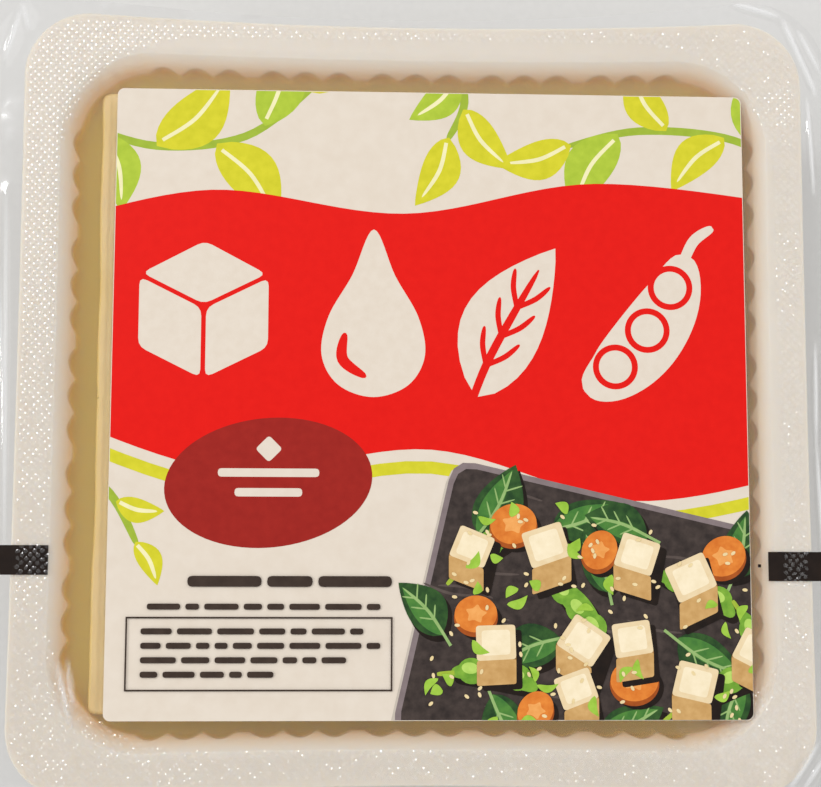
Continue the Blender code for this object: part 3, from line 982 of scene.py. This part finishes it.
draw("ground_shade", slate_shape(-0.6, 1.0))
draw("slate_edge", slate_shape(0.0))
draw("slate", slate_shape(1.0))
for x, y in strewn(16):
    draw("slate_light", stroke([on_slate(x - 5, y), on_slate(x, y + rng.uniform(-1, 1)), on_slate(x + 5, y)], 0.5))
for x, y, length, turn in ((-27, 13, 14, 60), (-14, 17, 13, 20), (3, 19, 12, 160), (19, 15, 13, 75), (-29, -6, 12, 130),
                           (-8, -2, 13, 200), (12, 3, 14, 330), (25, -2, 12, 250), (-18, -14, 13, 300),
                           (2, -16, 12, 20), (-2, 8, 12, 110)):
    spinach(x, y, length, turn)
for x, y, turn in ((-29, 5, 35), (6, 13, -25), (14, -10, 25), (-13, 8, -50), (-26, -12, -8), (22, 10, -70)):
    pod(x, y, turn)
for x, y, radius in ((-21, 16, 4.3), (-5, 15, 3.7), (17, 19, 4.2), (28, 8, 3.6), (-24, -1, 3.9), (6, -6, 4.4), (-10, -15, 3.6)):
    carrot(x, y, radius, rng.uniform(0, 60))
for x, y, size, turn in ((-16, 9, 7.4, 24), (-2, 13, 7.0, -12), (11, 9, 7.6, 30), (22, 2, 6.8, -22), (-9, -3, 7.5, -28),
                         (2, -3, 6.8, 14), (-22, -9, 7.0, 8), (13, -7, 7.2, -8), (-5, -14, 6.6, 26), (-31, 8, 6.6, -16)):
    tofu_cube(x, y, size, turn - 5)
for x, y in strewn(34, (29, 20)):
    x, y = on_slate(x, y)
    draw("herb", leaf(x, y, rng.uniform(2.2, 4.2), rng.uniform(1.2, 2.0), rng.uniform(0, 360), 0.2))
for x, y in strewn(110, (30, 21)):
    draw("seed", ellipse(*on_slate(x, y), 0.5, 0.3, rng.uniform(0, 180), 8))

# Grey bars where the small print would be, five of their lines in a box.
draw("small_print", bar(-43, -33.4, 13, 1.9), bar(-29, -33.4, 8, 1.9), bar(-20, -33.4, 13, 1.9))
for line, (start, stop) in enumerate(((-50, -9), (-51, -12), (-51, -9), (-51, -15), (-51, -26))):
    x, y = start, -37.4 - line * 2.5 - (1.8 if line > 0 else 0)
    while x < stop - 2:
        length = min(rng.uniform(2.2, 6.5), stop - x)
        draw("small_print", bar(x, y, length, 1.05))
        x += length + 0.9
low_x, low_y, high_x, high_y = -53.5, -51.4, -7.0, -38.8
for x0, y0, x1, y1 in ((low_x, low_y, high_x, low_y), (low_x, high_y, high_x, high_y),
                       (low_x, low_y, low_x, high_y), (high_x, low_y, high_x, high_y)):
    draw("small_print", [(x0 - 0.15, y0 - 0.15), (x1 + 0.15, y0 - 0.15), (x1 + 0.15, y1 + 0.15), (x0 - 0.15, y1 + 0.15)])

inks = {
    "red": ("#D2110A", "#D7140C"), "maroon": ("#8E1E18", "#96221B"), "white": ("#D1C5B6", "#D5CABC"),
    "stem": ("#8FA532", "#99AF3A"), "yellow_leaf": ("#BFBB26", "#CBC52E"), "green_leaf": ("#9BB234", "#A9BE3C"),
    "vein": ("#DCD6A6", "#E4DEB0"), "ground_shade": ("#B4AA9E", "#BCB2A6"), "slate_edge": ("#76696A", "#807374"),
    "slate": ("#2F2826", "#463C38"), "slate_light": ("#4A403C", "#5A4F4A"), "shade": ("#191310", "#231A15"),
    "spinach": ("#1F3A20", "#35572A"), "spinach_light": ("#3A6B31", "#4F8038"), "rib": ("#84A362", "#94B070"),
    "pod": ("#5D8C2C", "#7CA83A"), "pod_light": ("#9CC054", "#B0CE66"), "carrot_edge": ("#8E4318", "#A4521E"),
    "carrot": ("#C66A26", "#D98236"), "carrot_heart": ("#D98F48", "#E4A25C"), "tofu_flank": ("#8A6438", "#A67C4A"),
    "tofu_front": ("#B58C54", "#C7A068"), "tofu_top": ("#D8C096", "#DECBA6"), "tofu_light": ("#E2D2B0", "#EADCBE"),
    "herb": ("#86AE36", "#9CC148"), "seed": ("#D6C08E", "#E0CC9E"), "small_print": ("#352A24", "#3F332C"),
}
for ink, (dark, light) in inks.items():
    plates = []
    for place, (used, shape) in enumerate(drawn):
        level = panel_top + (place + 1) * plate_step
        if used == ink:
            plates.append((shape, level - plate_sheet, level))
    flat_prisms("print_" + ink, plates, printed(ink + " ink", dark, light, mottle_size=1.6 * mm))

# ---- The studio ----
# A pale floor, a small key lamp high on the far left that lights up the seal's dots, a strip of
# window on the left for the film's creases, a wide fill and an even sky. The camera looks down
# on the pack, leaning a little from the near side and the left.
floor_mesh = bpy.data.meshes.new("studio_floor")
floor_mesh.from_pydata([(-3, -3, 0), (3, -3, 0), (3, 3, 0), (-3, 3, 0)], [], [(0, 1, 2, 3)])
floor = bpy.data.objects.new("studio_floor", floor_mesh)
bpy.context.scene.collection.objects.link(floor)
paper, tree = material_tree("pale studio paper")
place = node(tree, "ShaderNodeTexCoord").outputs["Object"]
fibre = node(tree, "ShaderNodeTexNoise", {"Vector": place, "Scale": 1 / (1.5 * mm), "Detail": 3.0})
tint = node(tree, "ShaderNodeMix", {0: fibre, 6: paint("#C9C8C6"), 7: paint("#D0CFCD")}, data_type="RGBA")
shader = node(tree, "ShaderNodeBsdfPrincipled", {"Base Color": tint.outputs[2], "Roughness": 0.8})
node(tree, "ShaderNodeOutputMaterial", {"Surface": shader})
floor_mesh.materials.append(paper)


def softbox(name, azimuth, elevation, distance, size, power, tint=(1, 1, 1)):
    """An area light aimed at the pack from a direction: azimuth from +X, elevation in degrees."""
    light = bpy.data.lights.new(name, "AREA")
    light.shape = "RECTANGLE"
    light.size, light.size_y = size
    light.energy = power
    light.color = tint
    lamp = bpy.data.objects.new(name, light)
    a, e = math.radians(azimuth), math.radians(elevation)
    away = Vector((math.cos(a) * math.cos(e), math.sin(a) * math.cos(e), math.sin(e)))
    lamp.matrix_world = Matrix.Translation(away * distance) @ away.to_track_quat("Z", "Y").to_matrix().to_4x4()
    bpy.context.scene.collection.objects.link(lamp)


softbox("key", 135, 61, 2.4, (0.3, 0.3), 13.5)
softbox("left_window", 185, 42, 1.6, (1.0, 0.12), 5)
softbox("fill", 42, 62, 2.4, (2.0, 2.0), 12.5)
scene = bpy.context.scene
scene.world = bpy.data.worlds.new("studio")
scene.world.use_nodes = True
scene.world.node_tree.nodes["Background"].inputs["Color"].default_value = (1.0, 1.0, 1.0, 1)
scene.world.node_tree.nodes["Background"].inputs["Strength"].default_value = 0.74
scene.view_settings.view_transform = "Standard"
scene.cycles.transparent_max_bounces = 16
scene.cycles.diffuse_bounces = 8
scene.cycles.volume_bounces = 12

view_distance = 280 * mm
view_tilt = math.radians(6.43)
view_pan = math.radians(2.38)
view_roll = math.radians(0.145)
aim = Vector((-0.96 * mm, 0.56 * mm, flange_top))
camera_data = bpy.data.cameras.new("camera")
camera_data.sensor_width = 36
camera_data.lens = 68.24
camera_data.clip_start = 0.01
camera = bpy.data.objects.new("camera", camera_data)
back = Vector((-math.sin(view_pan), -math.sin(view_tilt) * math.cos(view_pan),
               math.cos(view_tilt) * math.cos(view_pan)))
right = Vector((0, 1, 0)).cross(back).normalized()
up = back.cross(right)
turned = Matrix((right, up, back)).transposed() @ Matrix.Rotation(view_roll, 3, "Z")
camera.matrix_world = Matrix.Translation(aim + back * view_distance) @ turned.to_4x4()
scene.collection.objects.link(camera)
scene.camera = camera
